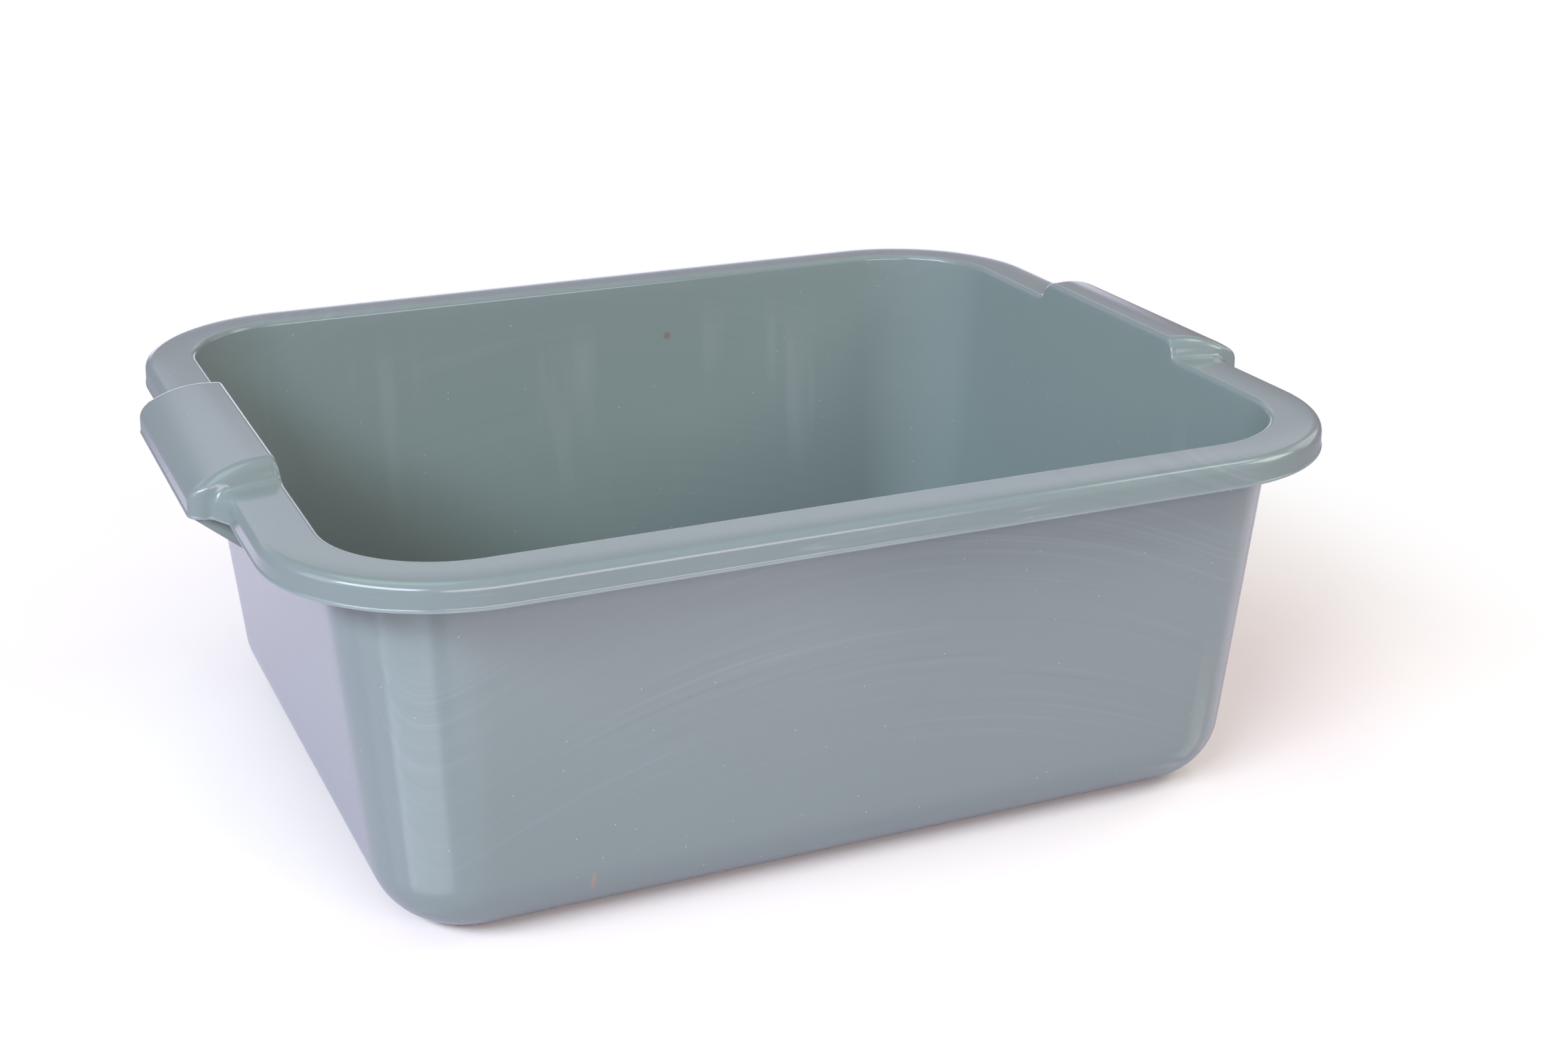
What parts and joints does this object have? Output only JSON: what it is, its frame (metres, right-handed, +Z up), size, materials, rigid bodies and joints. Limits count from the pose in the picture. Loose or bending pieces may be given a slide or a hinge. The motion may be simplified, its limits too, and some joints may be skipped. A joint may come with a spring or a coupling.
{
  "type": "washing-up basin",
  "caption": "Rectangular washing-up basin: open tapered tub with rounded corners, a broad turned-down rim, and two domed hollow handles on its short sides.",
  "frame": {"origin": "centre of the underside, on the surface the basin stands on", "axes": "+X along the long side, towards one handle; +Y along the short side, away from the viewer; +Z up out of the open mouth"},
  "size_m": [0.401, 0.32, 0.1475],
  "materials": {
    "moulding": "soft satin gloss, grey-green polypropylene"
  },
  "bodies": {
    "root": {"basin_moulding": "moulding"}
  },
  "joints": []
}
